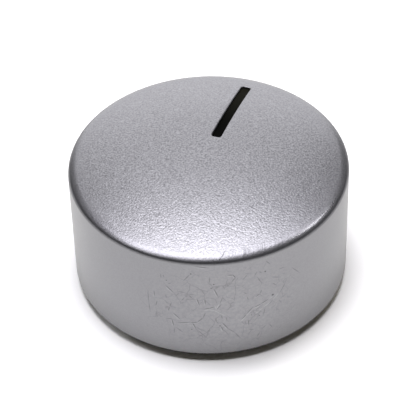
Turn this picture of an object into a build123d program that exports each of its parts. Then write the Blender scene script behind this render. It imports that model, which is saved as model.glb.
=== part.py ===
"""Coffee machine knob: a domed metal shell over a black moulded core, with a spring ring on the core's split hub.

Millimetres. The origin is on the knob's axis in the plane that the core's foot stands on. +Z points out of
the dome and +Y is the way that the pointer points.
"""

import os
from math import asin, cos, degrees, isclose, radians, sin, sqrt

from build123d import *

# Shell
knob_diameter = 42.0  # outside of the skirt
skirt_height = 19.05  # mouth edge up to the corner of skirt and dome, before that corner is rounded
dome_rise = 2.6  # crown of the dome above that corner
shell_wall = 1.2
shoulder_rounding = 3.0  # where the dome bends down towards the rim
shoulder_slope = 35.0  # slope in degrees at which the shoulder passes into the rim
rim_rounding = 0.7  # from the shoulder down to the skirt
inner_rounding = 0.5  # corner of skirt and dome inside
mouth_rounding = 0.3  # both edges of the skirt's mouth

# Pointer slot in the dome, with the pointer bar that fills it
slot_width = 1.5
slot_axis_gap = 3.4  # knob's axis to the inner end of the slot
slot_rim_margin = 3.15  # outer end of the slot to the skirt's face
slot_corner = 0.45
slot_edge_rounding = 0.15
pointer_clearance = 0.06  # all round the bar, in the slot
pointer_recess = 0.35  # top of the bar below the dome

# Core
core_clearance = 0.1  # between the core and the inside of the shell
core_web = 1.8  # thickness under the dome
core_wall = 1.8  # thickness inside the skirt
core_corner = 0.9  # chamfer of the core's top corner, which clears the rounding inside the shell
foot_height = 1.6  # core's wall below the shell, so that the skirt clears the front panel
foot_rounding = 0.3
web_rounding = 1.2  # inside corner of web and wall

# Ribs between hub and wall, and crush ribs that hold the shell on the core
rib_count = 6
rib_thickness = 1.2
rib_first_angle = 30.0
rib_gap_at_hub = 6.8  # foot's plane up to the rib's lower edge, at the hub
rib_gap_at_wall = 9.2  # the same, at the wall
crush_rib_width = 0.8
crush_rib_length = 10.0
crush_rib_gap = 4.0  # foot's plane up to the crush ribs
crush_rib_clearance = 0.02  # top of a crush rib to the inside of the shell

# Hub and its shaft socket
hub_diameter = 10.8
hub_recess = 1.6  # foot's plane up to the hub's end
hub_chamfer = 0.4
collar_diameter = 6.5  # round mouth, which clears the full-round part of a 6 mm shaft
collar_length = 4.0
collar_chamfer = 0.5
socket_diameter = 6.1  # D-shaped socket above the mouth, for the flatted end of the shaft
socket_flat = 1.55  # axis to the flat of the socket
socket_length = 11.4
slit_width = 1.0
slit_length = 8.4  # from the hub's end

# Spring ring
groove_depth = 0.5
groove_gap = 0.9  # hub's end to the groove
groove_clearance = 0.1  # each side of the ring, along the axis
ring_thickness = 0.75
ring_height = 3.0
ring_clearance = 0.03  # ring to the floor of the groove
ring_opening = 3.4  # gap between the ring's ends
ring_end_rounding = 0.2

overrun = 1.0  # how far a cut starts outside what it cuts

# Places worked out from the sizes
knob_radius = knob_diameter / 2
corner_z = foot_height + skirt_height
crown_z = corner_z + dome_rise
dome_radius = (knob_radius**2 + dome_rise**2) / (2 * dome_rise)
dome_centre_z = crown_z - dome_radius
shell_bore = knob_radius - shell_wall
slope = radians(shoulder_slope)
rim_centre_x = knob_radius - rim_rounding
shoulder_centre_x = rim_centre_x - (shoulder_rounding - rim_rounding) * sin(slope)
dome_end_slope = asin(shoulder_centre_x / (dome_radius - shoulder_rounding))
shoulder_centre_z = dome_centre_z + (dome_radius - shoulder_rounding) * cos(dome_end_slope)
rim_centre_z = shoulder_centre_z + (shoulder_rounding - rim_rounding) * cos(slope)
core_radius = shell_bore - core_clearance
core_bore = core_radius - core_wall
core_top_depth = shell_wall + core_clearance
web_depth = core_top_depth + core_web
slot_length = knob_radius - slot_rim_margin - slot_axis_gap
slot_centre_y = slot_axis_gap + slot_length / 2
hub_radius = hub_diameter / 2
collar_end_z = hub_recess + collar_length
groove_radius = hub_radius - groove_depth
groove_z = hub_recess + groove_gap
groove_height = ring_height + 2 * groove_clearance


def dome_z(depth, radius):
    """Height of the surface that lies `depth` under the dome, at `radius` from the axis."""
    return dome_centre_z + sqrt((dome_radius - depth) ** 2 - radius**2)


def dome_arc(depth, radius):
    """Arc of that surface in the XZ plane, from the axis out to `radius`."""
    sphere_radius = dome_radius - depth
    return CenterArc((0, dome_centre_z), sphere_radius, 90, -degrees(asin(radius / sphere_radius)))


# Shell: one turned profile that is open below. The dome runs over a soft shoulder into a tight rim
with BuildPart() as outer_shell:
    with BuildSketch(Plane.XZ):
        with BuildLine():
            outside = dome_arc(0, dome_radius * sin(dome_end_slope))
            shoulder_start = 90 - degrees(dome_end_slope)
            rim_start = 90 - shoulder_slope
            shoulder_centre = (shoulder_centre_x, shoulder_centre_z)
            CenterArc(shoulder_centre, shoulder_rounding, shoulder_start, rim_start - shoulder_start)
            rim = CenterArc((rim_centre_x, rim_centre_z), rim_rounding, rim_start, -rim_start)
            inside = dome_arc(shell_wall, shell_bore)
            Polyline(
                rim @ 1,
                (knob_radius, foot_height),
                (shell_bore, foot_height),
                inside @ 1,
            )
            Line(inside @ 0, outside @ 0)
        make_face()
    revolve(axis=Axis.Z)

    rings = outer_shell.edges().filter_by(GeomType.CIRCLE)
    inner_edge = rings.filter_by(lambda e: isclose(e.radius, shell_bore, rel_tol=1e-6)).sort_by(Axis.Z)[-1]
    fillet(inner_edge, inner_rounding)
    mouth_edges = outer_shell.edges().filter_by(GeomType.CIRCLE).group_by(Axis.Z)[0]
    fillet(mouth_edges, mouth_rounding)

    # The slot goes right through the dome, and its outside edge is broken
    with BuildSketch(Plane.XY.offset(dome_z(shell_wall, knob_radius - slot_rim_margin) - overrun)):
        with Locations((0, slot_centre_y)):
            RectangleRounded(slot_width, slot_length, slot_corner)
    extrude(until=Until.LAST, mode=Mode.SUBTRACT)
    dome_face = outer_shell.faces().filter_by(GeomType.SPHERE).sort_by(Axis.Z)[-1]
    fillet(dome_face.inner_wires().edges(), slot_edge_rounding)

outer_shell.part.label = "outer_shell"

# Pointer bar: stands on the core's web in the slot, with a top that follows the dome a little below it
with BuildPart() as pointer_bar:
    with BuildSketch(Plane.XZ):
        with BuildLine():
            bar_top = dome_arc(pointer_recess, shell_bore)
            bar_base = dome_arc(core_top_depth + core_web / 2, shell_bore)
            Line(bar_top @ 1, bar_base @ 1)
            Line(bar_base @ 0, bar_top @ 0)
        make_face()
    revolve(axis=Axis.Z)
    with BuildSketch(Plane.XY.offset(foot_height)):
        with Locations((0, slot_centre_y)):
            RectangleRounded(
                slot_width - 2 * pointer_clearance,
                slot_length - 2 * pointer_clearance,
                slot_corner - pointer_clearance,
            )
    extrude(amount=crown_z, mode=Mode.INTERSECT)

# Rib: a gusset in the XZ plane from the axis out into the wall. Its top edge lies inside the web, and its
# lower edge rises from the hub outwards
with BuildPart() as rib:
    rib_end = core_bore + core_wall / 2
    with BuildSketch(Plane.XZ):
        with BuildLine():
            rib_top = dome_arc(core_top_depth + core_web / 2, rib_end)
            Polyline(
                rib_top @ 1,
                (rib_end, rib_gap_at_wall),
                (hub_radius, rib_gap_at_hub),
                (0, rib_gap_at_hub),
                rib_top @ 0,
            )
        make_face()
    extrude(amount=rib_thickness / 2, both=True)

# Crush rib: a low bar on the outside of the core's wall
with BuildPart() as crush_rib:
    crush_rib_top = shell_bore - crush_rib_clearance
    crush_rib_root = core_radius - core_wall / 2
    with BuildSketch(Plane.XY.offset(crush_rib_gap)):
        with Locations((crush_rib_root, 0)):
            Rectangle(crush_rib_top - crush_rib_root, crush_rib_width, align=(Align.MIN, Align.CENTER))
    extrude(amount=crush_rib_length)

# Core: web and wall in one turned profile, then hub, ribs and pointer bar, then the socket and the slits
with BuildPart() as inner_core:
    with BuildSketch(Plane.XZ):
        with BuildLine():
            web_top = dome_arc(core_top_depth, core_radius)
            web_under = dome_arc(web_depth, core_bore)
            Polyline(web_top @ 1, (core_radius, 0), (core_bore, 0), web_under @ 1)
            Line(web_under @ 0, web_top @ 0)
        make_face()
    revolve(axis=Axis.Z)
    rings = inner_core.edges().filter_by(GeomType.CIRCLE)
    top_edge = rings.filter_by(lambda e: abs(e.radius - core_radius) < core_wall / 2).sort_by(Axis.Z)[-1]
    web_edge = rings.filter_by(lambda e: abs(e.radius - core_bore) < core_wall / 2).sort_by(Axis.Z)[-1]
    chamfer(top_edge, core_corner)
    fillet(web_edge, web_rounding)
    fillet(inner_core.edges().filter_by(GeomType.CIRCLE).group_by(Axis.Z)[0], foot_rounding)

    with BuildSketch(Plane.XY.offset(hub_recess)):
        Circle(hub_radius)
    extrude(amount=dome_z(web_depth, 0) + core_web / 2 - hub_recess)
    chamfer(
        inner_core.edges().filter_by(GeomType.CIRCLE).filter_by_position(Axis.Z, hub_recess, hub_recess),
        hub_chamfer,
    )
    with PolarLocations(0, rib_count, start_angle=rib_first_angle):
        add(rib.part)
        add(crush_rib.part)
    add(pointer_bar.part)

    # Round mouth of the bore, and above it the D-shaped socket with its flat on the pointer's side
    with BuildSketch(Plane.XY.offset(hub_recess)):
        Circle(collar_diameter / 2)
    extrude(amount=collar_length, mode=Mode.SUBTRACT)
    hub_end = inner_core.edges().filter_by(GeomType.CIRCLE).filter_by_position(Axis.Z, hub_recess, hub_recess)
    chamfer(hub_end.sort_by(SortBy.RADIUS)[0], collar_chamfer)
    with BuildSketch(Plane.XY.offset(collar_end_z)):
        Circle(socket_diameter / 2)
        with Locations((0, socket_flat)):
            Rectangle(socket_diameter, socket_diameter, align=(Align.CENTER, Align.MIN), mode=Mode.SUBTRACT)
    extrude(amount=socket_length, mode=Mode.SUBTRACT)

    # Slits that let the hub close on the shaft, and the groove for the spring ring
    with BuildSketch(Plane.XY.offset(hub_recess)):
        Rectangle(hub_diameter + overrun, slit_width)
    extrude(amount=slit_length, mode=Mode.SUBTRACT)
    with BuildSketch(Plane.XY.offset(groove_z)):
        Circle(hub_radius + overrun)
        Circle(groove_radius, mode=Mode.SUBTRACT)
    extrude(amount=groove_height, mode=Mode.SUBTRACT)

inner_core.part.label = "inner_core"

# Spring ring: an open ring of spring strip in the hub's groove, with its opening away from the pointer
with BuildPart() as spring_ring:
    ring_bore = groove_radius + ring_clearance
    with BuildSketch(Plane.XY.offset(groove_z + groove_clearance)):
        Circle(ring_bore + ring_thickness)
        Circle(ring_bore, mode=Mode.SUBTRACT)
        with Locations((0, -ring_bore)):
            Rectangle(ring_opening, hub_radius, mode=Mode.SUBTRACT)
    extrude(amount=ring_height)
    fillet(spring_ring.edges().filter_by(Axis.Z), ring_end_rounding)

spring_ring.part.label = "spring_ring"

os.makedirs("parts", exist_ok=True)
for piece in (outer_shell, inner_core, spring_ring):
    export_step(piece.part, f"parts/{piece.part.label}.step")
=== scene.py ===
"""Dresses the coffee machine knob on its solid model: a satin silver shell, a black core and a spring ring.

Lengths are in metres, in the solid model's frame: Z is the knob's axis, its foot stands on Z = 0, and the
pointer points along +Y. The finishes lay their patterns out in millimetres.
"""

import math

import bpy
from bpy.props import FloatProperty, FloatVectorProperty, IntProperty, PointerProperty
from mathutils import Matrix, Vector


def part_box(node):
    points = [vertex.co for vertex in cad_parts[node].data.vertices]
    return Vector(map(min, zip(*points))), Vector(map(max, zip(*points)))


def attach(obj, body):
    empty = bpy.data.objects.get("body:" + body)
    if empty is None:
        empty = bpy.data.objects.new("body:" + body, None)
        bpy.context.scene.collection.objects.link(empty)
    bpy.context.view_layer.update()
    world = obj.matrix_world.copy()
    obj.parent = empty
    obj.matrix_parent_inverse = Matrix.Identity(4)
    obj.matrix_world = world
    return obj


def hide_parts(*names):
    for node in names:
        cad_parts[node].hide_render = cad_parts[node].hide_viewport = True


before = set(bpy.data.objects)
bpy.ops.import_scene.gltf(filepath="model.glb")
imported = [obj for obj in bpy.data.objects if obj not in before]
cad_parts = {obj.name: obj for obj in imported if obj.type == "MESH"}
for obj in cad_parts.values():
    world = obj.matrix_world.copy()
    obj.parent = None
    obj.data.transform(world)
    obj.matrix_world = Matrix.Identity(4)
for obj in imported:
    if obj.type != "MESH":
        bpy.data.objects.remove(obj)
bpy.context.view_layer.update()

bl_info = {
    "name": "Coffee machine knob",
    "version": (1, 0, 0),
    "blender": (4, 5, 0),
    "location": "3D View > Sidebar > Knob",
    "description": "Builds the knob's silver shell, finishes its core and spring ring, and lays out a stage",
    "category": "Add Mesh",
}

SHELL_LOW, SHELL_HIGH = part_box("outer_shell")
MM = 0.001


# Node trees


class Wire:
    """An output socket. Arithmetic on wires and numbers adds Math nodes to its graph."""

    def __init__(self, graph, socket):
        self.graph = graph
        self.socket = socket

    def math(self, operation, *values):
        return self.graph.add("ShaderNodeMath", {"operation": operation}, dict(enumerate(values)))

    def __add__(self, other):
        return self.math("ADD", self, other)

    def __radd__(self, other):
        return self.math("ADD", other, self)

    def __sub__(self, other):
        return self.math("SUBTRACT", self, other)

    def __rsub__(self, other):
        return self.math("SUBTRACT", other, self)

    def __mul__(self, other):
        return self.math("MULTIPLY", self, other)

    def __rmul__(self, other):
        return self.math("MULTIPLY", other, self)

    def __truediv__(self, other):
        return self.math("DIVIDE", self, other)

    def __neg__(self):
        return self.math("MULTIPLY", self, -1.0)

    def __abs__(self):
        return self.math("ABSOLUTE", self)

    def root(self):
        return self.math("SQRT", self)

    def sine(self):
        return self.math("SINE", self)

    def cosine(self):
        return self.math("COSINE", self)

    def angle(self, along):
        """Angle whose tangent is this wire over `along`."""
        return self.math("ARCTAN2", self, along)

    def least(self, other):
        return self.math("MINIMUM", self, other)

    def most(self, other):
        return self.math("MAXIMUM", self, other)

    def between(self, low, high):
        return self.most(low).least(high)

    def ramp(self, start, end):
        """0 at `start`, 1 at `end`, eased at both. `start` may be the larger."""
        return self.graph.add(
            "ShaderNodeMapRange",
            {"interpolation_type": "SMOOTHSTEP"},
            {"Value": self, "From Min": start, "From Max": end},
        )


class Graph:
    """A node tree that is filled through one method."""

    def __init__(self, tree):
        self.tree = tree
        tree.nodes.clear()

    def add(self, kind, settings=None, sockets=None, output=0):
        """Adds a node, makes its settings, then sets or links its sockets, and gives one of its outputs."""
        node = self.tree.nodes.new(kind)
        for name, value in (settings or {}).items():
            setattr(node, name, value)
        for key, value in (sockets or {}).items():
            if isinstance(value, Wire):
                self.tree.links.new(value.socket, node.inputs[key])
            else:
                node.inputs[key].default_value = value
        return Wire(self, node.outputs[output]) if node.outputs else None

    def other(self, wire, output):
        """Another output of the node that gave `wire`."""
        return Wire(self, wire.socket.node.outputs[output])

    def split(self, vector):
        """The three numbers of a vector."""
        first = self.add("ShaderNodeSeparateXYZ", None, {0: vector})
        return first, self.other(first, 1), self.other(first, 2)

    def join(self, x, y, z):
        return self.add("ShaderNodeCombineXYZ", None, {0: x, 1: y, 2: z})

    def vector(self, operation, *values):
        return self.add("ShaderNodeVectorMath", {"operation": operation}, dict(enumerate(values)))

    def mix(self, share, first, second):
        """Colour that goes from `first` to `second` as `share` goes from 0 to 1."""
        socket_numbers = {0: share, 6: first, 7: second}
        return self.add("ShaderNodeMix", {"data_type": "RGBA"}, socket_numbers, output=2)

    def noise(self, place, size, detail=2.0, roughness=0.5, output=0):
        """Cloudy noise whose lumps are about `size` across."""
        sockets = {"Vector": place, "Scale": 1.0 / size, "Detail": detail, "Roughness": roughness}
        return self.add("ShaderNodeTexNoise", None, sockets, output)


def new_finish(name):
    """A material and its empty graph."""
    finish = bpy.data.materials.new(name)
    finish.use_nodes = True
    return finish, Graph(finish.node_tree)


def opaque(colour, shade=1.0):
    """A colour for a socket, lighter or darker by `shade`."""
    return tuple(channel * shade for channel in colour) + (1.0,)


def in_millimetres(graph, turn=0.0):
    """Object coordinates in millimetres, turned about the knob's axis."""
    place = graph.add("ShaderNodeTexCoord", output="Object")
    sockets = {"Vector": place, "Rotation": (0.0, 0.0, -turn), "Scale": (1 / MM,) * 3}
    return graph.add("ShaderNodeMapping", None, sockets)


def close_finish(graph, sockets):
    """Ends a graph in one Principled shader with these sockets."""
    shader = graph.add("ShaderNodeBsdfPrincipled", None, sockets)
    graph.add("ShaderNodeOutputMaterial", None, {"Surface": shader})


def bumped(graph, height):
    """Normal of a surface with this height in millimetres."""
    return graph.add("ShaderNodeBump", None, {"Strength": 1.0, "Distance": MM, "Height": height})


# Settings


class KnobShellSizes(bpy.types.PropertyGroup):
    """Sizes of the silver shell."""

    diameter: FloatProperty(
        name="Diameter", description="Outside of the skirt", default=SHELL_HIGH.x - SHELL_LOW.x, unit="LENGTH"
    )
    mouth_height: FloatProperty(
        name="Mouth height", description="Skirt's edge above the floor", default=SHELL_LOW.z, unit="LENGTH"
    )
    crown_height: FloatProperty(
        name="Crown height", description="Dome's top above the floor", default=SHELL_HIGH.z, unit="LENGTH"
    )
    dome_rise: FloatProperty(
        name="Dome rise", description="Crown above the skirt's corner", default=2.6 * MM, unit="LENGTH"
    )
    wall: FloatProperty(name="Wall", description="Thickness of the wall", default=1.2 * MM, unit="LENGTH")
    shoulder_rounding: FloatProperty(
        name="Shoulder rounding", description="From the dome to the rim", default=3.0 * MM, unit="LENGTH"
    )
    shoulder_slope: FloatProperty(
        name="Shoulder slope", description="Where the rim begins", default=math.radians(35), subtype="ANGLE"
    )
    rim_rounding: FloatProperty(
        name="Rim rounding", description="From the shoulder to the skirt", default=0.7 * MM, unit="LENGTH"
    )
    inner_rounding: FloatProperty(
        name="Inner rounding", description="Corner of skirt and dome inside", default=0.5 * MM, unit="LENGTH"
    )
    mouth_rounding: FloatProperty(
        name="Mouth rounding", description="Both edges of the skirt's mouth", default=0.2 * MM, unit="LENGTH"
    )
    slot_width: FloatProperty(
        name="Slot width", description="Pointer slot across", default=1.5 * MM, unit="LENGTH"
    )
    slot_start: FloatProperty(
        name="Slot start", description="Knob's axis to the slot's inner end", default=3.4 * MM, unit="LENGTH"
    )
    slot_end: FloatProperty(
        name="Slot end", description="Knob's axis to the slot's outer end", default=17.85 * MM, unit="LENGTH"
    )
    slot_corner: FloatProperty(
        name="Slot corner", description="Rounding of the slot's outline", default=0.45 * MM, unit="LENGTH"
    )
    slot_edge: FloatProperty(
        name="Slot edge", description="Rounding of the slot's outer edge", default=0.15 * MM, unit="LENGTH"
    )
    columns: IntProperty(name="Columns", description="Faces round the knob", default=320, min=32)


class KnobFinishes(bpy.types.PropertyGroup):
    """Colours of the three pieces and the wear of the shell, with the shade and highlights painted on the
    shell and the pointer.
    """

    silver: FloatVectorProperty(
        name="Silver", description="Colour of the shell", default=(0.342, 0.338, 0.364), subtype="COLOR"
    )
    # Painted highlight: how much lighter the line beside the rim on its right is painted
    highlight_tone: FloatProperty(
        name="Polish tone", description="How much lighter the rubbed line beside the rim is", default=0.15
    )
    # Painted shade: the streaks fray the upper edge of the painted dark reflection on the rim's right
    streak_shade: FloatProperty(
        name="Streak shade", description="How much darker the streaks are", default=0.5, subtype="FACTOR"
    )
    # Painted shade: how much darker the rim's left side is painted
    left_rim_shade: FloatProperty(
        name="Handled shade",
        description="How much darker the rim's handled patch is",
        default=0.28,
        subtype="FACTOR",
    )
    pit_shade: FloatProperty(
        name="Pit shade", description="How much darker the dome's pits are", default=0.4, subtype="FACTOR"
    )
    # Painted shade: how much darker the painted dark reflection band along the rim is
    rim_reflection_shade: FloatProperty(
        name="Rim shade", description="How much darker the worn rim is", default=0.55, subtype="FACTOR"
    )
    grain_height: FloatProperty(
        name="Grain height", description="Height of the blasted grain in millimetres", default=0.026
    )
    grain_tone: FloatProperty(
        name="Grain tone", description="How far the grain is lighter and darker", default=1.02
    )
    mottle_tone: FloatProperty(
        name="Mottle tone", description="How far the skirt's worn side is lighter and darker", default=0.32
    )
    craze_depth: FloatProperty(
        name="Craze depth", description="Depth of the skirt's fine crazing in millimetres", default=0.012
    )
    craze_shade: FloatProperty(
        name="Craze shade", description="How much darker the crazing is", default=0.32, subtype="FACTOR"
    )
    # Painted highlight: how much lighter the raised lines and crease edges are painted
    ridge_highlight_tone: FloatProperty(
        name="Ridge tone", description="How much lighter the raised edges of the creases are", default=0.22
    )
    crease_shade: FloatProperty(
        name="Crease shade", description="How much darker the creases are", default=0.58, subtype="FACTOR"
    )
    black: FloatVectorProperty(
        name="Black", description="Colour of the core", default=(0.01, 0.01, 0.01), subtype="COLOR"
    )
    # Painted shade: the pointer's face is darkened as shade of its recess in the slot
    pointer: FloatVectorProperty(
        name="Pointer", description="Pointer's face", default=(0.001, 0.001, 0.0009), subtype="COLOR"
    )
    # The pointer's outer end, with less painted shade, lighter and warmer than the rest of its face
    pointer_end: FloatVectorProperty(
        name="Dust", description="Pointer's outer end", default=(0.009, 0.0085, 0.0062), subtype="COLOR"
    )
    steel: FloatVectorProperty(
        name="Steel", description="Colour of the spring ring", default=(0.5, 0.5, 0.52), subtype="COLOR"
    )


class KnobStage(bpy.types.PropertyGroup):
    """View and light."""

    azimuth: FloatProperty(
        name="Azimuth", description="Side, from -Y towards +X", default=math.radians(20.45), subtype="ANGLE"
    )
    elevation: FloatProperty(
        name="Elevation", description="Viewer's height angle", default=math.radians(43.23), subtype="ANGLE"
    )
    roll: FloatProperty(
        name="Roll", description="Tilt of the picture", default=math.radians(1.55), subtype="ANGLE"
    )
    distance: FloatProperty(
        name="Distance", description="Camera to the point it aims at", default=0.2957, unit="LENGTH"
    )
    lens: FloatProperty(name="Lens", description="Focal length in millimetres", default=166.0)
    floor: FloatVectorProperty(
        name="Floor", description="Colour of the floor", default=(0.779, 0.780, 0.776), subtype="COLOR"
    )
    floor_seen: FloatVectorProperty(
        name="Floor seen", description="In the picture", default=(1.046, 1.038, 1.083), subtype="COLOR"
    )
    key_radiance: FloatProperty(name="Key", description="Brightness of the overhead softbox", default=2.86)
    key_back: FloatProperty(
        name="Key tilt back", description="Away from the viewer", default=math.radians(6), subtype="ANGLE"
    )
    key_left: FloatProperty(
        name="Key tilt left", description="To the viewer's left", default=math.radians(5), subtype="ANGLE"
    )
    key_width: FloatProperty(
        name="Key width", description="Softbox from left to right", default=1.7, unit="LENGTH"
    )
    key_depth: FloatProperty(
        name="Key depth", description="Softbox from back to front", default=0.9, unit="LENGTH"
    )
    key_tint: FloatVectorProperty(
        name="Key tint", description="Softbox's colour", default=(0.966, 0.955, 0.995), subtype="COLOR"
    )
    right_radiance: FloatProperty(
        name="Right", description="Brightness of the small softbox at the right", default=3.0
    )
    right_size: FloatProperty(
        name="Right size", description="Right softbox across", default=0.3, unit="LENGTH"
    )
    right_back: FloatProperty(
        name="Right tilt back", description="Away from the viewer", default=math.radians(17), subtype="ANGLE"
    )
    right_tilt: FloatProperty(
        name="Right tilt", description="To the viewer's right", default=math.radians(33.5), subtype="ANGLE"
    )
    back_radiance: FloatProperty(
        name="Back", description="Brightness of the low softbox behind the knob", default=0.3
    )
    back_lift: FloatProperty(
        name="Back lift", description="Softbox above the floor", default=math.radians(14), subtype="ANGLE"
    )
    back_width: FloatProperty(
        name="Back width", description="Back softbox from left to right", default=1.4, unit="LENGTH"
    )
    back_height: FloatProperty(
        name="Back height", description="Back softbox from bottom to top", default=0.8, unit="LENGTH"
    )
    top_radiance: FloatProperty(
        name="Top", description="Brightness of the floor's overhead lamp", default=11.85
    )
    top_size: FloatProperty(name="Top size", description="Overhead lamp across", default=0.75, unit="LENGTH")
    top_back: FloatProperty(
        name="Top tilt back", description="Away from the viewer", default=math.radians(3.0), subtype="ANGLE"
    )
    top_left: FloatProperty(
        name="Top tilt left", description="To the viewer's left", default=math.radians(2.2), subtype="ANGLE"
    )
    wash_left: FloatProperty(
        name="Left wash", description="Brightness of the floor's left lamp", default=3.2
    )
    wash_right: FloatProperty(
        name="Right wash", description="Brightness of the floor's right lamp", default=3.0
    )
    wash_tilt: FloatProperty(
        name="Wash tilt", description="To both sides", default=math.radians(45), subtype="ANGLE"
    )
    wash_left_back: FloatProperty(
        name="Left wash back",
        description="Away from the viewer",
        default=math.radians(14),
        subtype="ANGLE",
    )
    wash_right_back: FloatProperty(
        name="Right wash back",
        description="Away from the viewer",
        default=math.radians(45),
        subtype="ANGLE",
    )
    wash_size: FloatProperty(
        name="Wash size", description="Both wash lamps across", default=0.5, unit="LENGTH"
    )
    wash_tint: FloatVectorProperty(
        name="Wash tint", description="Right wash lamp's colour", default=(1.0, 0.95, 0.84), subtype="COLOR"
    )
    fill: FloatProperty(name="Fill", description="Brightness of the surroundings as a lamp", default=0.07)
    fill_tint: FloatVectorProperty(
        name="Fill tint", description="Colour of the fill light", default=(1.0, 0.92, 0.62), subtype="COLOR"
    )
    card_left: FloatProperty(
        name="Card left", description="Left end from the front", default=math.radians(149), subtype="ANGLE"
    )
    card_right: FloatProperty(
        name="Card right", description="Right end from the front", default=math.radians(155), subtype="ANGLE"
    )
    card_low: FloatProperty(
        name="Card low", description="Lower edge above the floor", default=math.radians(7), subtype="ANGLE"
    )
    card_shade: FloatProperty(name="Card shade", description="Brightness of the dark card", default=0.15)


# Shell

MERGE_DISTANCE = 0.0005 * MM
SHARP_ANGLE = math.radians(50)


def arc(centre, radius, start, end, steps):
    """Points on an arc in the section, angles in degrees, both ends among them."""
    points = []
    for step in range(steps + 1):
        angle = math.radians(start + (end - start) * step / steps)
        points.append((centre[0] + radius * math.cos(angle), centre[1] + radius * math.sin(angle)))
    return points


def spread(start, end, steps):
    """Numbers from `start` to `end`, the first one left out."""
    return [start + (end - start) * step / steps for step in range(1, steps + 1)]


class ShellSection:
    """Section of the shell's wall, from the slot out to the rim, down the skirt and back inside.

    Its first coordinate is the distance from the axis, where a round hole of the slot's corner radius stands
    for the slot, and its second is the height.
    """

    edge_steps = 5
    dome_steps = 28
    margin_steps = 2
    bend_steps = 8
    rim_steps = 10
    skirt_steps = 16
    mouth_steps = 6
    bore_steps = 10
    corner_steps = 6
    ceiling_steps = 16

    def __init__(self, sizes):
        self.radius = sizes.diameter / 2
        self.bore = self.radius - sizes.wall
        self.hole = sizes.slot_corner
        self.ball = (self.radius**2 + sizes.dome_rise**2) / (2 * sizes.dome_rise)
        self.ball_height = sizes.crown_height - self.ball
        self.turned = self.bore - 2 * sizes.inner_rounding
        self.points = self.outside(sizes) + self.inside(sizes)

    def on_ball(self, depth, radius):
        return radius, self.ball_height + math.sqrt((self.ball - depth) ** 2 - radius**2)

    def corner(self, depth, wall_radius, rounding):
        """Centre of the rounding between the dome at `depth` and an upright wall, and the slope there."""
        centre_radius = wall_radius - rounding
        reach = self.ball - depth - rounding
        slope = math.asin(centre_radius / reach)
        return (centre_radius, self.ball_height + reach * math.cos(slope)), slope

    def outside(self, sizes):
        edge = sizes.slot_edge
        lip = self.hole + edge
        lip_height = self.on_ball(0, lip)[1]
        bend = sizes.shoulder_rounding
        spare = bend - sizes.rim_rounding
        slope = sizes.shoulder_slope
        rim_radius = self.radius - sizes.rim_rounding
        bend_radius = rim_radius - spare * math.sin(slope)
        dome_slope = math.asin(bend_radius / (self.ball - bend))
        bend_height = self.ball_height + (self.ball - bend) * math.cos(dome_slope)
        rim_height = bend_height + spare * math.cos(slope)
        dome_end = self.ball * math.sin(dome_slope)
        mouth = sizes.mouth_rounding
        mouth_height = sizes.mouth_height + mouth
        points = [self.on_ball(sizes.wall, self.hole)]
        points += [(self.hole, points[0][1] + (lip_height - edge - points[0][1]) / 2)]
        points += arc((lip, lip_height - edge), edge, 180, 90, self.edge_steps)
        radii = spread(lip, self.turned, self.dome_steps)
        radii += spread(self.turned, dome_end, self.margin_steps)[:-1]
        points += [self.on_ball(0, radius) for radius in radii]
        rim_start = 90 - math.degrees(slope)
        bend_start = 90 - math.degrees(dome_slope)
        points += arc((bend_radius, bend_height), bend, bend_start, rim_start, self.bend_steps)
        points += arc((rim_radius, rim_height), sizes.rim_rounding, rim_start, 0, self.rim_steps)[1:]
        heights = spread(rim_height, mouth_height, self.skirt_steps)[:-1]
        points += [(self.radius, height) for height in heights]
        points += arc((self.radius - mouth, mouth_height), mouth, 0, -90, self.mouth_steps)
        return points

    def inside(self, sizes):
        mouth = sizes.mouth_rounding
        mouth_height = sizes.mouth_height + mouth
        corner_centre, slope = self.corner(sizes.wall, self.bore, sizes.inner_rounding)
        points = arc((self.bore + mouth, mouth_height), mouth, -90, -180, self.mouth_steps)
        heights = spread(mouth_height, corner_centre[1], self.bore_steps)[:-1]
        points += [(self.bore, height) for height in heights]
        points += arc(corner_centre, sizes.inner_rounding, 0, 90 - math.degrees(slope), self.corner_steps)
        radii = spread(points[-1][0], self.turned, self.margin_steps)
        radii += spread(self.turned, self.hole, self.ceiling_steps)
        points += [self.on_ball(sizes.wall, radius) for radius in radii]
        return points


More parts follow.
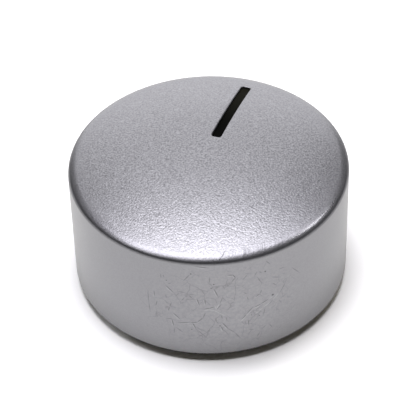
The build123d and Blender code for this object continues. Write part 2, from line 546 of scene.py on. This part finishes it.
def shell_tree(inputs):
    """Tree that turns a section round the axis and draws the hole in its middle out to the slot's outline."""
    tree = bpy.data.node_groups.new("turned_shell", "GeometryNodeTree")
    tree.interface.new_socket("Geometry", in_out="OUTPUT", socket_type="NodeSocketGeometry")
    tree.interface.new_socket("Section", in_out="INPUT", socket_type="NodeSocketGeometry")
    identifiers = {}
    for name, kind in inputs:
        identifiers[name] = tree.interface.new_socket(name, in_out="INPUT", socket_type=kind).identifier
    graph = Graph(tree)
    section = graph.add("NodeGroupInput", output="Section")
    size = {name: graph.other(section, name) for name, _ in inputs}

    # One row of the grid for each point of the section, one column for each step round the axis
    rows = graph.add("GeometryNodeAttributeDomainSize", None, {"Geometry": section})
    grid_sockets = {
        "Size X": rows - 1,
        "Size Y": size["Columns"],
        "Vertices X": rows,
        "Vertices Y": size["Columns"] + 1,
    }
    grid = graph.add("GeometryNodeMeshGrid", None, grid_sockets)
    row, column, _ = graph.split(graph.add("GeometryNodeInputPosition"))
    index = graph.add("FunctionNodeFloatToInt", {"rounding_mode": "ROUND"}, {0: row + (rows - 1) / 2})
    sampled = graph.add(
        "GeometryNodeSampleIndex",
        {"data_type": "FLOAT_VECTOR"},
        {"Geometry": section, "Value": graph.add("GeometryNodeInputPosition"), "Index": index},
    )
    radius, _, height = graph.split(sampled)
    angle = column * (2 * math.pi) / size["Columns"]
    cosine, sine = angle.cosine(), angle.sine()

    # The slot's outline, grown by what the section adds to the hole's radius: the nearest point of a
    # rectangle inside the slot, then straight out from it
    half_x = size["Slot Width"] / 2 - size["Slot Corner"]
    half_y = size["Slot Length"] / 2 - size["Slot Corner"]
    from_x = cosine * (half_x + 2 * size["Slot Corner"])
    from_y = sine * (half_y + 2 * size["Slot Corner"])
    near_x = from_x.between(-half_x, half_x)
    near_y = from_y.between(-half_y, half_y)
    out_x, out_y = from_x - near_x, from_y - near_y
    grown = radius.least(size["Slot Corner"] + size["Slot Edge"]) / (out_x * out_x + out_y * out_y).root()
    slot_x = near_x + out_x * grown
    slot_y = near_y + out_y * grown + size["Slot Centre"]

    # From the slot to the turned part in even steps. Each point stays on its own ball round the dome's centre
    lip = size["Slot Corner"] + size["Slot Edge"]
    share = ((radius - lip) / (size["Turned Radius"] - lip)).between(0.0, 1.0)
    reach = radius.most(size["Turned Radius"])
    x = slot_x + (cosine * reach - slot_x) * share
    y = slot_y + (sine * reach - slot_y) * share
    rise = height - size["Ball Height"]
    z = size["Ball Height"] + (radius * radius + rise * rise - x * x - y * y).root()

    placed = graph.add("GeometryNodeSetPosition", None, {"Geometry": grid, "Position": graph.join(x, y, z)})
    closed = graph.add("GeometryNodeMergeByDistance", None, {"Geometry": placed, "Distance": MERGE_DISTANCE})
    smooth = graph.add("GeometryNodeSetShadeSmooth", {"domain": "FACE"}, {"Geometry": closed})
    edge_angle = graph.add("GeometryNodeInputMeshEdgeAngle")
    sharp = edge_angle.math("GREATER_THAN", edge_angle, SHARP_ANGLE)
    split = graph.add(
        "GeometryNodeSetShadeSmooth",
        {"domain": "EDGE"},
        {"Geometry": smooth, "Selection": sharp, "Shade Smooth": False},
    )
    plain = graph.add("GeometryNodeRealizeInstances", None, {"Geometry": split})
    finished = graph.add("GeometryNodeSetMaterial", None, {"Geometry": plain, "Material": size["Finish"]})
    graph.add("NodeGroupOutput", None, {"Geometry": finished})
    return tree, identifiers


def shell_piece(sizes, finish):
    """The shell as one closed mesh."""
    section = ShellSection(sizes)
    mesh = bpy.data.meshes.new("shell_section")
    mesh.from_pydata([(radius, 0.0, height) for radius, height in section.points], [], [])
    piece = bpy.data.objects.new("silver_shell", mesh)
    bpy.context.scene.collection.objects.link(piece)

    values = {
        "Columns": sizes.columns,
        "Slot Width": sizes.slot_width,
        "Slot Length": sizes.slot_end - sizes.slot_start,
        "Slot Centre": (sizes.slot_end + sizes.slot_start) / 2,
        "Slot Corner": sizes.slot_corner,
        "Slot Edge": sizes.slot_edge,
        "Turned Radius": section.turned,
        "Ball Height": section.ball_height,
        "Finish": finish,
    }
    kinds = {int: "NodeSocketInt", float: "NodeSocketFloat"}
    inputs = [(name, kinds.get(type(value), "NodeSocketMaterial")) for name, value in values.items()]
    tree, identifiers = shell_tree(inputs)
    modifier = piece.modifiers.new("turned_shell", "NODES")
    modifier.node_group = tree
    for name, value in values.items():
        modifier[identifiers[name]] = value

    solid = piece.evaluated_get(bpy.context.evaluated_depsgraph_get())
    made = bpy.data.meshes.new_from_object(solid)
    piece.modifiers.clear()
    piece.data = made
    made.name = "silver_shell"
    return piece


# Finishes

# Wear on the side that the viewer sees, in millimetres: along the skirt from its front, and up from its mouth
CREASES = (
    ((0.3, 13.72), (0.85, 12.12)),
    ((1.25, 10.42), (0.6, 9.32)),
    ((0.3, 10.02), (-0.4, 9.72), (-1.2, 9.57)),
    ((-1.05, 8.72), (-1.4, 7.72), (-2.3, 6.67)),
    ((-2.3, 6.72), (-3.2, 6.67), (-5.3, 6.17)),
    ((-2.95, 6.57), (-2.5, 5.47)),
    ((-6.0, 10.27), (-6.3, 9.32), (-6.55, 8.42)),
    ((-5.8, 8.22), (-4.8, 7.12)),
    ((-3.1, 16.52), (-4.15, 14.97)),
    ((-2.4, 18.27), (-0.4, 17.97)),
    ((4.25, 6.77), (5.0, 7.72), (5.95, 8.87)),
    ((6.3, 8.77), (7.2, 9.12), (8.4, 9.62)),
    ((1.4, 6.62), (2.25, 5.22)),
    ((1.25, 5.77), (1.5, 4.92)),
    ((-6.05, 6.92), (-5.8, 5.47)),
    ((-6.75, 13.67), (-5.6, 12.47)),
    ((2.4, 16.27), (3.1, 16.22), (3.4, 15.62), (2.75, 14.62)),
    ((6.4, 10.87), (7.1, 11.27), (7.3, 11.92)),
    ((-8.6, 11.92), (-8.6, 10.92)),
    ((-8.2, 9.92), (-8.5, 8.82)),
    ((-2.2, 11.72), (-1.9, 10.52)),
    ((-1.05, 11.62), (-1.0, 10.62)),
    ((5.3, 6.37), (5.25, 5.47)),
)
FAINT_CREASES = (
    ((12.3, 14.17), (13.8, 12.17)),
    ((8.0, 17.62), (8.7, 16.62)),
    ((5.1, 11.32), (5.3, 10.62)),
    ((9.0, 13.92), (10.3, 13.27)),
    ((5.45, 4.32), (6.05, 4.07)),
    ((7.3, 3.72), (8.0, 4.32)),
    ((6.75, 14.62), (7.3, 13.47)),
    ((-2.45, 5.32), (-0.9, 3.52)),
    ((2.3, 5.17), (3.2, 4.27), (4.05, 2.87)),
    ((-9.6, 11.62), (-9.55, 9.12), (-9.4, 7.32)),
    ((11.3, 11.82), (10.2, 9.92)),
    ((-5.5, 5.27), (-4.4, 4.37)),
    ((-4.0, 11.72), (-4.45, 11.02)),
    ((-0.3, 16.02), (-0.3, 15.02)),
    ((1.5, 11.82), (1.15, 10.72)),
    ((-6.0, 6.92), (-6.9, 6.72)),
    ((-5.7, 4.92), (-5.8, 3.92)),
    ((-7.4, 15.82), (-7.4, 15.02)),
    ((-7.05, 15.72), (-6.9, 15.22)),
    ((-5.9, 14.32), (-6.3, 14.12)),
    ((-5.0, 12.82), (-3.9, 12.77)),
    ((-3.4, 12.52), (-2.5, 12.52)),
    ((-3.3, 12.32), (-2.9, 11.72)),
    ((-6.8, 11.72), (-6.7, 11.02)),
    ((-8.4, 7.72), (-8.5, 6.62)),
    ((2.0, 7.62), (2.1, 6.92)),
    ((1.3, 8.12), (1.4, 7.52)),
    ((0.4, 7.62), (0.6, 6.82), (0.8, 6.52)),
    ((7.0, 15.82), (7.3, 15.52)),
    ((6.6, 15.92), (6.3, 15.32)),
    ((5.2, 15.82), (4.5, 14.92)),
    ((9.1, 12.62), (9.7, 11.92)),
    ((10.2, 15.02), (11.0, 14.92)),
    ((7.6, 6.72), (7.9, 8.12)),
    ((8.4, 8.52), (9.2, 9.22)),
    ((5.7, 7.52), (5.85, 7.07)),
    ((8.6, 4.27), (9.0, 3.47)),
    ((7.0, 3.17), (6.6, 2.47)),
    ((4.6, 12.32), (5.0, 11.97)),
)
NICK = (((0.85, 18.55), (1.1, 18.95), (1.5, 19.2), (2.1, 19.42)),)
# Raised lines, painted lighter as highlights
RIDGES = (
    ((-1.25, 9.27), (-0.5, 9.42), (0.3, 9.27), (1.0, 8.67), (1.7, 8.12)),
    ((0.35, 10.32), (0.6, 9.32)),
    ((0.95, 10.52), (0.65, 9.62)),
    ((8.6, 9.62), (9.0, 9.82)),
    ((1.15, 5.42), (1.3, 4.82)),
    ((6.1, 7.12), (7.4, 8.17), (9.1, 9.07), (10.0, 10.12)),
    ((4.0, 6.22), (4.9, 7.27), (6.0, 8.57), (7.1, 8.82)),
)
# The same places with the half width of each
DOTS = (
    (9.1, 10.22, 0.27),
    (7.9, 15.52, 0.19),
    (0.3, 14.62, 0.15),
    (-0.1, 13.87, 0.14),
    (-2.95, 16.67, 0.17),
    (-6.6, 14.72, 0.14),
    (1.05, 5.97, 0.15),
    (-3.1, 5.17, 0.13),
    (7.0, 6.77, 0.13),
)

# Half widths of the lines, and how strong each kind is beside a plain crease
CREASE_HALF_WIDTH = 0.12
FAINT_HALF_WIDTH = 0.11
NICK_HALF_WIDTH = 0.07
RIDGE_HALF_WIDTH = 0.13
FAINT_STRENGTH = 0.7
NICK_STRENGTH = 1.3
DOT_STRENGTH = 1.5
EDGE_STRENGTH = 0.8
# The raised edge of a crease lies this far to its left and below it, and is painted lighter there as a
# highlight
EDGE_SHIFT = (0.1, 0.2)
# Half length of a line's oval as a share of the line
STROKE_SHARE = 0.62
# An oval is full out to this share of its reach
OVAL_FULL = 0.3
# Scale that leaves the third number of a place out
FLAT = 1e6
# Patches: middle, half length and half width: the worn side, a line painted lighter as a highlight, painted
# shade on the rim's left, painted streaks on its right. The last three lie up from the corner of skirt and
# dome
WORN_SIDE = ((2.0, 9.0), 17.0, 14.0)
POLISH_AND_HIGHLIGHT_LINE = ((18.5, 0.08), 10.0, 0.14)
SHADED_RIM_PATCH = ((-18.5, 0.12), 7.5, 0.38)
STREAKED_PATCH = ((8.0, 0.15), 8.0, 0.42)
# Tones of silver darkened by wear and painted shade, worn plastic and dull steel beside the plain colour
SHADE_AND_WEAR_TONE = 0.3
WORN_TONE = 1.6
DULL_TONE = 0.7


def oval(graph, place, middle, half_length, half_width, tilt=0.0):
    """1 in the middle of an oval laid out on the first two numbers of `place`, falling to 0 at its edge."""
    sockets = {
        "Vector": place,
        "Location": (*middle, 0.0),
        "Rotation": (0.0, 0.0, tilt),
        "Scale": (half_length, half_width, FLAT),
    }
    local = graph.add("ShaderNodeMapping", {"vector_type": "TEXTURE"}, sockets)
    reach = graph.add("ShaderNodeVectorMath", {"operation": "LENGTH"}, {0: local}, output="Value")
    return reach.ramp(1.0, OVAL_FULL)


def strokes(graph, along, up, lines, half_width):
    """1 along these lines, each part of a line a slim oval.

    What is found so far rides along as the third number of the place, so that the parts are worked out one by
    one.
    """
    found = 0.0
    for line in lines:
        for start, end in zip(line, line[1:]):
            run, rise = end[0] - start[0], end[1] - start[1]
            middle = ((start[0] + end[0]) / 2, (start[1] + end[1]) / 2)
            half_length = STROKE_SHARE * math.hypot(run, rise) + half_width
            place = graph.join(along, up, found)
            found = oval(graph, place, middle, half_length, half_width, math.atan2(rise, run)).most(found)
    return found


def skirt_creases(graph, along, up):
    """Strength of the creases, the nick and the dots, and of the painted highlights on the raised lines and
    crease edges.
    """
    faint = FAINT_STRENGTH * strokes(graph, along, up, FAINT_CREASES, FAINT_HALF_WIDTH)
    crease = strokes(graph, along, up, CREASES, CREASE_HALF_WIDTH).most(faint)
    crease = crease.most(NICK_STRENGTH * strokes(graph, along, up, NICK, NICK_HALF_WIDTH))
    for dot_along, dot_up, half_width in DOTS:
        place = graph.join(along, up, crease)
        crease = crease.most(DOT_STRENGTH * oval(graph, place, (dot_along, dot_up), half_width, half_width))
    ridge_highlight = strokes(graph, along, up, RIDGES, RIDGE_HALF_WIDTH)
    edge_along, edge_up = along + EDGE_SHIFT[0], up + EDGE_SHIFT[1]
    edges = strokes(graph, edge_along, edge_up, CREASES, CREASE_HALF_WIDTH)
    return crease, ridge_highlight.most(EDGE_STRENGTH * edges)


def crazing(graph, place):
    """1 along a broken net of fine bent lines."""
    cell_size = 2.3
    bend_size = 2.2
    bend_reach = 1.8
    gap_size = 1.8
    gap_range = (0.40, 0.58)
    half_line = 0.035
    warp = graph.vector("SUBTRACT", graph.noise(place, bend_size, output=1), (0.5, 0.5, 0.5))
    bent = graph.vector("ADD", place, graph.vector("MULTIPLY", warp, (bend_reach,) * 3))
    sockets = {"Vector": bent, "Scale": 1 / cell_size}
    cells = graph.add("ShaderNodeTexVoronoi", {"feature": "DISTANCE_TO_EDGE"}, sockets)
    broken = graph.noise(place, gap_size, detail=1.0).ramp(*gap_range)
    return cells.ramp(half_line, 0.0) * broken


def pitting(graph, place):
    """1 in small round pits, where about one cell in three of a loose net holds a pit."""
    spacing = 1.5
    pit_range = (0.11, 0.04)
    picked_range = (0.5, 0.9)
    pit = graph.add("ShaderNodeTexVoronoi", None, {"Vector": place, "Scale": 1 / spacing})
    picked, _, _ = graph.split(graph.other(pit, "Color"))
    return pit.ramp(*pit_range) * picked.ramp(*picked_range)


def rim_streaks(graph, along, up):
    """1 in fine slanted streaks, used as painted shade that frays the upper edge of the rim's painted dark
    reflection.
    """
    slant = 1.4
    stretch = 0.2
    streak_size = 0.22
    streak_range = (0.46, 0.66)
    slanted = graph.join(along - slant * up, stretch * up, 0.0)
    return graph.noise(slanted, streak_size, detail=1.0).ramp(*streak_range)


def silver_finish(finishes, sizes, turn):
    """Blasted satin silver: grain and pits, crazing and scratches on the skirt, and on the rim a painted dark
    reflection with painted streaks, painted shade on its left and a painted highlight line on its right.
    """
    grain_size = 0.26
    flake_size = 0.24
    flake_shift = (40.0, 40.0, 40.0)
    skirt_grain = 0.12
    back_loss = 0.45
    back_reach = 16.0
    blister_size = 1.3
    blister_share = 0.8
    mottle_size = 0.5
    # Height under the rim's top, and the outer and inner half widths, of the painted dark reflection band
    rim_drop = 0.33
    rim_edge = 0.45
    rim_core = 0.12
    blend_drop = 0.5
    dome_lift = 0.2
    blast_lift = 1.1
    cloud_size = 6.0
    plain_roughness = 0.30
    cloud_roughness = 0.05
    polish_gain = 0.08
    finish, graph = new_finish("satin_silver")
    place = in_millimetres(graph, turn)
    x, y, z = graph.split(place)
    radius = sizes.diameter / 2 / MM
    mouth = sizes.mouth_height / MM
    rim_top = (sizes.crown_height - sizes.dome_rise) / MM
    along, up = x.angle(-y) * radius, z - mouth
    dome = z.ramp(rim_top - blend_drop, rim_top + dome_lift)
    blasted = z.ramp(rim_top - blend_drop, rim_top + blast_lift)
    blasted = blasted * (1 - back_loss * y.ramp(0.0, back_reach))
    grainy = skirt_grain + (1 - skirt_grain) * blasted

    grain = graph.noise(place, grain_size, detail=0.0) - 0.5
    height = grain * finishes.grain_height * grainy
    flakes = graph.noise(graph.vector("ADD", place, flake_shift), flake_size, detail=0.0) - 0.5
    pits = pitting(graph, place) * dome

    side = oval(graph, graph.join(along, up, 0.0), *WORN_SIDE) * (1 - dome)
    craze = crazing(graph, place) * side
    blisters = graph.noise(place, blister_size, detail=1.0) - 0.5
    height = height - finishes.craze_depth * craze
    height = height + finishes.craze_depth * blister_share * blisters * side

    crease, ridge_highlight = skirt_creases(graph, along, up)
    rim_place = graph.join(along, up - (rim_top - mouth), 0.0)
    # A line on the rim's right: painted lighter as a highlight, and also made smoother
    polish_and_highlight = oval(graph, rim_place, *POLISH_AND_HIGHLIGHT_LINE)
    # Painted shade over the rim's left side
    shaded = oval(graph, rim_place, *SHADED_RIM_PATCH)
    # Painted shade: streaks along the upper edge of the painted rim reflection, on the rim's right
    streaks = rim_streaks(graph, along, up) * oval(graph, rim_place, *STREAKED_PATCH)
    # Painted dark reflection: a band darkened round a height just under the rim's top
    rim = abs(z - (rim_top - rim_drop)).ramp(rim_edge, rim_core)

    # Darkening from wear and painted shade: creases, crazing and pits, with the rim's painted dark
    # reflection, painted streaks and painted shade
    wear_and_painted_shade = (finishes.rim_reflection_shade * rim).most(finishes.crease_shade * crease).most(finishes.craze_shade * craze)
    wear_and_painted_shade = wear_and_painted_shade.most(finishes.streak_shade * streaks).most(finishes.pit_shade * pits)
    wear_and_painted_shade = wear_and_painted_shade.most(finishes.left_rim_shade * shaded)
    mottle = graph.noise(place, mottle_size) - 0.5
    # Tone: random grain and mottle, with painted highlights on raised lines and on the rim's right
    tone = 1 + finishes.grain_tone * flakes * grainy + finishes.ridge_highlight_tone * ridge_highlight
    tone = tone + finishes.mottle_tone * mottle * side + finishes.highlight_tone * polish_and_highlight
    # Silver darkened by wear and by painted shade
    worn = graph.mix(wear_and_painted_shade, opaque(finishes.silver), opaque(finishes.silver, SHADE_AND_WEAR_TONE))
    colour = graph.add("ShaderNodeVectorMath", {"operation": "SCALE"}, {0: worn, "Scale": tone})
    roughness = plain_roughness + cloud_roughness * graph.noise(place, cloud_size) - polish_gain * polish_and_highlight
    sockets = {
        "Base Color": colour,
        "Metallic": 1.0,
        "Roughness": roughness,
        "Normal": bumped(graph, height),
    }
    close_finish(graph, sockets)
    return finish


def black_finish(finishes, sizes):
    """Black moulded plastic with a fine spark texture. The pointer's face is painted darker as shade of its
    recess, turning lighter and warmer towards its outer end.
    """
    spark_size = 0.18
    spark_height = 0.012
    cloud_size = 4.0
    worn_range = (0.45, 0.75)
    plain_roughness = 0.50
    cloud_roughness = 0.12
    shine = 0.015
    clean_length = 3.0
    face_depth = 1.0
    finish, graph = new_finish("black_plastic")
    place = in_millimetres(graph)
    _, y, z = graph.split(place)
    spark = graph.noise(place, spark_size, detail=3.0)
    cloud = graph.noise(place, cloud_size)
    worn = opaque(finishes.black, WORN_TONE)
    moulded = graph.mix(cloud.ramp(*worn_range), opaque(finishes.black), worn)
    outwards = y.ramp(sizes.slot_start / MM + clean_length, sizes.slot_end / MM)
    # Pointer's face: painted shade of the recess, lighter towards its outer end
    face = graph.mix(outwards, opaque(finishes.pointer), opaque(finishes.pointer_end))
    top = (sizes.crown_height - sizes.dome_rise) / MM
    sockets = {
        "Base Color": graph.mix(z.ramp(top - face_depth, top), moulded, face),
        "Roughness": plain_roughness + cloud_roughness * cloud,
        "Specular IOR Level": shine,
        "Normal": bumped(graph, spark * spark_height),
    }
    close_finish(graph, sockets)
    return finish


def steel_finish(finishes):
    """Bright rolled spring strip, with fine lines along its length."""
    line_height = 0.008
    cloud_size = 2.5
    dull_range = (0.4, 0.7)
    plain_roughness = 0.24
    line_roughness = 0.16
    round_scale = 0.8
    out_scale = 4.0
    up_scale = 9.0
    finish, graph = new_finish("spring_steel")
    place = in_millimetres(graph)
    x, y, z = graph.split(place)
    strip = graph.join(y.angle(x) * round_scale, (x * x + y * y).root() * out_scale, z * up_scale)
    lines = graph.noise(strip, 1.0, detail=4.0, roughness=0.6)
    cloud = graph.noise(place, cloud_size)
    dull = opaque(finishes.steel, DULL_TONE)
    sockets = {
        "Base Color": graph.mix(cloud.ramp(*dull_range), opaque(finishes.steel), dull),
        "Metallic": 1.0,
        "Roughness": plain_roughness + line_roughness * lines,
        "Normal": bumped(graph, lines * line_height),
    }
    close_finish(graph, sockets)
    return finish


def dress_node(name, finish):
    """Gives a node of the solid model this finish."""
    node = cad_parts[name]
    node.data.materials.clear()
    node.data.materials.append(finish)


# Stage

WHITE = (1.0, 1.0, 1.0, 1.0)
# Point that the camera aims at
AIM = Vector((0.0, 0.13, 11.0)) * MM
NEAR_CLIP = 0.01
LAMP_DISTANCE = 1.5
# Power of a lamp with an area of 1 and a brightness of 1
LAMP_POWER = 4.0
FLOOR_REACH = 4.0
# The floor shows shadows out to the first distance from the axis, and is plain white from the second on
SHADED_REACH = 0.1
WHITE_REACH = 0.35
CARD_RADIUS = 3.0
CARD_TOP = math.radians(85)
CARD_COLUMNS = 32
CARD_ROWS = 8
# Flags under the key softbox: each corner's place to the viewer's right of the axis, and away behind it
FLAG_HEIGHT = 1.4
FRONT_FLAG = ((-0.05, -0.4), (0.9, -0.4), (0.9, 0.6))
BACK_FLAG = ((-1.1, -0.05), (-0.4, 0.75), (-1.1, 0.75))


def viewer_right(stage):
    return Vector((math.cos(stage.azimuth), math.sin(stage.azimuth), 0.0))


def viewer_back(stage):
    """Level direction away from the viewer."""
    return Vector((-math.sin(stage.azimuth), math.cos(stage.azimuth), 0.0))


def stage_sheet(name, points, faces, finish):
    mesh = bpy.data.meshes.new(name)
    mesh.from_pydata(points, [], faces)
    mesh.materials.append(finish)
    sheet = bpy.data.objects.new(name, mesh)
    bpy.context.scene.collection.objects.link(sheet)
    return sheet


def seen(graph):
    """1 for rays that show the surroundings, in the picture or in a reflection, and 0 for rays that light."""
    camera = graph.add("ShaderNodeLightPath", output="Is Camera Ray")
    glossy = graph.other(camera, "Is Glossy Ray")
    clear = graph.other(camera, "Is Transmission Ray")
    return camera.most(glossy).most(clear)


def floor_sheet(stage):
    """White paper that keeps the knob's shadow, and has no edge in the picture or in the metal."""
    finish, graph = new_finish("floor_paper")
    pictured = graph.add("ShaderNodeLightPath", output="Is Camera Ray")
    paper = graph.mix(pictured, opaque(stage.floor), opaque(stage.floor_seen))
    matt = graph.add("ShaderNodeBsdfDiffuse", None, {"Color": paper})
    x, y, _ = graph.split(graph.add("ShaderNodeTexCoord", output="Object"))
    far = (x * x + y * y).root().ramp(SHADED_REACH, WHITE_REACH)
    white = graph.add("ShaderNodeEmission", None, {"Color": WHITE, "Strength": 1.0})
    mixed = graph.add("ShaderNodeMixShader", None, {0: far * seen(graph), 1: matt, 2: white})
    graph.add("ShaderNodeOutputMaterial", None, {"Surface": mixed})
    reach = FLOOR_REACH
    points = [(-reach, -reach, 0), (reach, -reach, 0), (reach, reach, 0), (-reach, reach, 0)]
    stage_sheet("floor", points, [(0, 1, 2, 3)], finish)


def dark_sheet(name, stage, points, faces):
    """Dark sheet that only the metal shows."""
    finish, graph = new_finish(name)
    shade = opaque((stage.card_shade,) * 3)
    glow = graph.add("ShaderNodeEmission", None, {"Color": shade, "Strength": 1.0})
    graph.add("ShaderNodeOutputMaterial", None, {"Surface": glow})
    sheet = stage_sheet(name, points, faces, finish)
    sheet.visible_camera = False
    sheet.visible_diffuse = False
    sheet.visible_shadow = False


def dark_card(stage):
    """Curved card round the front and the sides, which the metal shows as the dark line of its rim."""
    points = []
    for row in range(CARD_ROWS + 1):
        lift = stage.card_low + (CARD_TOP - stage.card_low) * row / CARD_ROWS
        level = CARD_RADIUS * math.cos(lift)
        for column in range(CARD_COLUMNS + 1):
            share = column / CARD_COLUMNS
            turn = stage.azimuth - stage.card_left + (stage.card_left + stage.card_right) * share
            points.append((level * math.sin(turn), -level * math.cos(turn), CARD_RADIUS * math.sin(lift)))
    faces = []
    for row in range(CARD_ROWS):
        for column in range(CARD_COLUMNS):
            first = row * (CARD_COLUMNS + 1) + column
            above = first + CARD_COLUMNS + 1
            faces.append((first, first + 1, above + 1, above))
    dark_sheet("dark_card", stage, points, faces)


def flag(name, stage, corners):
    """Dark card under a corner of the key softbox, which narrows what the metal shows of it."""
    lift = Vector((0.0, 0.0, FLAG_HEIGHT))
    points = [viewer_right(stage) * across + viewer_back(stage) * away + lift for across, away in corners]
    dark_sheet(name, stage, points, [(0, 1, 2)])


def soft_box(name, stage, tilt_back, tilt_left, size, radiance):
    """Rectangular lamp above the knob, tilted away from the viewer and to the viewer's left."""
    lamp = bpy.data.lights.new(name, "AREA")
    lamp.shape = "RECTANGLE"
    lamp.size, lamp.size_y = size
    lamp.energy = LAMP_POWER * size[0] * size[1] * radiance
    left = -viewer_right(stage)
    level = viewer_back(stage) * math.tan(tilt_back) + left * math.tan(tilt_left)
    towards = (level + Vector((0.0, 0.0, 1.0))).normalized()
    across = left - towards * left.dot(towards)
    across.normalize()
    turn = Matrix((across, towards.cross(across), towards)).transposed().to_4x4()
    box = bpy.data.objects.new(name, lamp)
    box.matrix_world = Matrix.Translation(towards * LAMP_DISTANCE) @ turn
    bpy.context.scene.collection.objects.link(box)
    return box


def metal_lamps(stage):
    """Softboxes that the metal shows. Only the back one lights the floor too."""
    size = (stage.key_width, stage.key_depth)
    key = soft_box("key", stage, stage.key_back, stage.key_left, size, stage.key_radiance)
    key.data.color = stage.key_tint
    key.visible_diffuse = False
    size = (stage.right_size, stage.right_size)
    right = soft_box("right", stage, stage.right_back, -stage.right_tilt, size, stage.right_radiance)
    right.visible_diffuse = False
    behind = math.pi / 2 - stage.back_lift
    size = (stage.back_width, stage.back_height)
    soft_box("back", stage, behind, 0.0, size, stage.back_radiance)


def floor_lamps(stage):
    """Lamps for the floor, which the metal doesn't show."""
    size = (stage.top_size, stage.top_size)
    top = soft_box("top", stage, stage.top_back, stage.top_left, size, stage.top_radiance)
    size = (stage.wash_size, stage.wash_size)
    left = soft_box("left_wash", stage, stage.wash_left_back, stage.wash_tilt, size, stage.wash_left)
    right = soft_box("right_wash", stage, stage.wash_right_back, -stage.wash_tilt, size, stage.wash_right)
    right.data.color = stage.wash_tint
    for lamp in (top, left, right):
        lamp.visible_glossy = False


def surroundings(stage):
    """White to look at, dim and warm as a lamp."""
    world = bpy.data.worlds.new("studio")
    bpy.context.scene.world = world
    world.use_nodes = True
    graph = Graph(world.node_tree)
    shown = seen(graph)
    strength = stage.fill + (1.0 - stage.fill) * shown
    colour = graph.mix(shown, opaque(stage.fill_tint), WHITE)
    light = graph.add("ShaderNodeBackground", None, {"Color": colour, "Strength": strength})
    graph.add("ShaderNodeOutputWorld", None, {"Surface": light})


def camera(stage):
    upwards = Vector((0.0, 0.0, 1.0))
    back = upwards * math.sin(stage.elevation) - viewer_back(stage) * math.cos(stage.elevation)
    level = viewer_right(stage)
    upright = back.cross(level)
    right = level * math.cos(stage.roll) - upright * math.sin(stage.roll)
    up = level * math.sin(stage.roll) + upright * math.cos(stage.roll)
    view = bpy.data.cameras.new("camera")
    view.lens = stage.lens
    view.clip_start = NEAR_CLIP
    eye = bpy.data.objects.new("camera", view)
    turn = Matrix((right, up, back)).transposed().to_4x4()
    eye.matrix_world = Matrix.Translation(AIM + back * stage.distance) @ turn
    bpy.context.scene.collection.objects.link(eye)
    bpy.context.scene.camera = eye


# Operators


class KNOB_OT_shell(bpy.types.Operator):
    """Builds the satin silver shell in the place of the solid model's"""

    bl_idname = "knob.shell"
    bl_label = "Silver shell"

    def execute(self, context):
        scene = context.scene
        finish = silver_finish(scene.knob_finishes, scene.knob_shell, scene.knob_stage.azimuth)
        piece = shell_piece(scene.knob_shell, finish)
        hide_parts("outer_shell")
        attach(piece, "root")
        return {"FINISHED"}


class KNOB_OT_core(bpy.types.Operator):
    """Finishes the core and its pointer in black moulded plastic"""

    bl_idname = "knob.core"
    bl_label = "Black core"

    def execute(self, context):
        scene = context.scene
        dress_node("inner_core", black_finish(scene.knob_finishes, scene.knob_shell))
        return {"FINISHED"}


class KNOB_OT_ring(bpy.types.Operator):
    """Finishes the ring round the hub in rolled spring steel"""

    bl_idname = "knob.ring"
    bl_label = "Spring ring"

    def execute(self, context):
        dress_node("spring_ring", steel_finish(context.scene.knob_finishes))
        return {"FINISHED"}


class KNOB_OT_stage(bpy.types.Operator):
    """Lays out the floor, the lamps and the camera"""

    bl_idname = "knob.stage"
    bl_label = "Stage"

    def execute(self, context):
        stage = context.scene.knob_stage
        floor_sheet(stage)
        dark_card(stage)
        flag("front_flag", stage, FRONT_FLAG)
        flag("back_flag", stage, BACK_FLAG)
        surroundings(stage)
        metal_lamps(stage)
        floor_lamps(stage)
        camera(stage)
        context.scene.view_settings.view_transform = "Standard"
        return {"FINISHED"}


class KNOB_PT_sidebar(bpy.types.Panel):
    """Lists the knob's pieces with their sizes and colours"""

    bl_idname = "KNOB_PT_sidebar"
    bl_label = "Coffee machine knob"
    bl_space_type = "VIEW_3D"
    bl_region_type = "UI"
    bl_category = "Knob"

    def draw(self, context):
        scene = context.scene
        for operator in (KNOB_OT_shell, KNOB_OT_core, KNOB_OT_ring, KNOB_OT_stage):
            self.layout.operator(operator.bl_idname)
        for group in (scene.knob_shell, scene.knob_finishes, scene.knob_stage):
            column = self.layout.column()
            for name in group.__annotations__:
                column.prop(group, name)


CLASSES = (
    KnobShellSizes,
    KnobFinishes,
    KnobStage,
    KNOB_OT_shell,
    KNOB_OT_core,
    KNOB_OT_ring,
    KNOB_OT_stage,
    KNOB_PT_sidebar,
)


def register():
    for cls in CLASSES:
        bpy.utils.register_class(cls)
    bpy.types.Scene.knob_shell = PointerProperty(type=KnobShellSizes)
    bpy.types.Scene.knob_finishes = PointerProperty(type=KnobFinishes)
    bpy.types.Scene.knob_stage = PointerProperty(type=KnobStage)


def unregister():
    del bpy.types.Scene.knob_shell
    del bpy.types.Scene.knob_finishes
    del bpy.types.Scene.knob_stage
    for cls in reversed(CLASSES):
        bpy.utils.unregister_class(cls)


def main():
    register()
    bpy.ops.knob.shell()
    bpy.ops.knob.core()
    bpy.ops.knob.ring()
    bpy.ops.knob.stage()


if __name__ == "__main__":
    main()
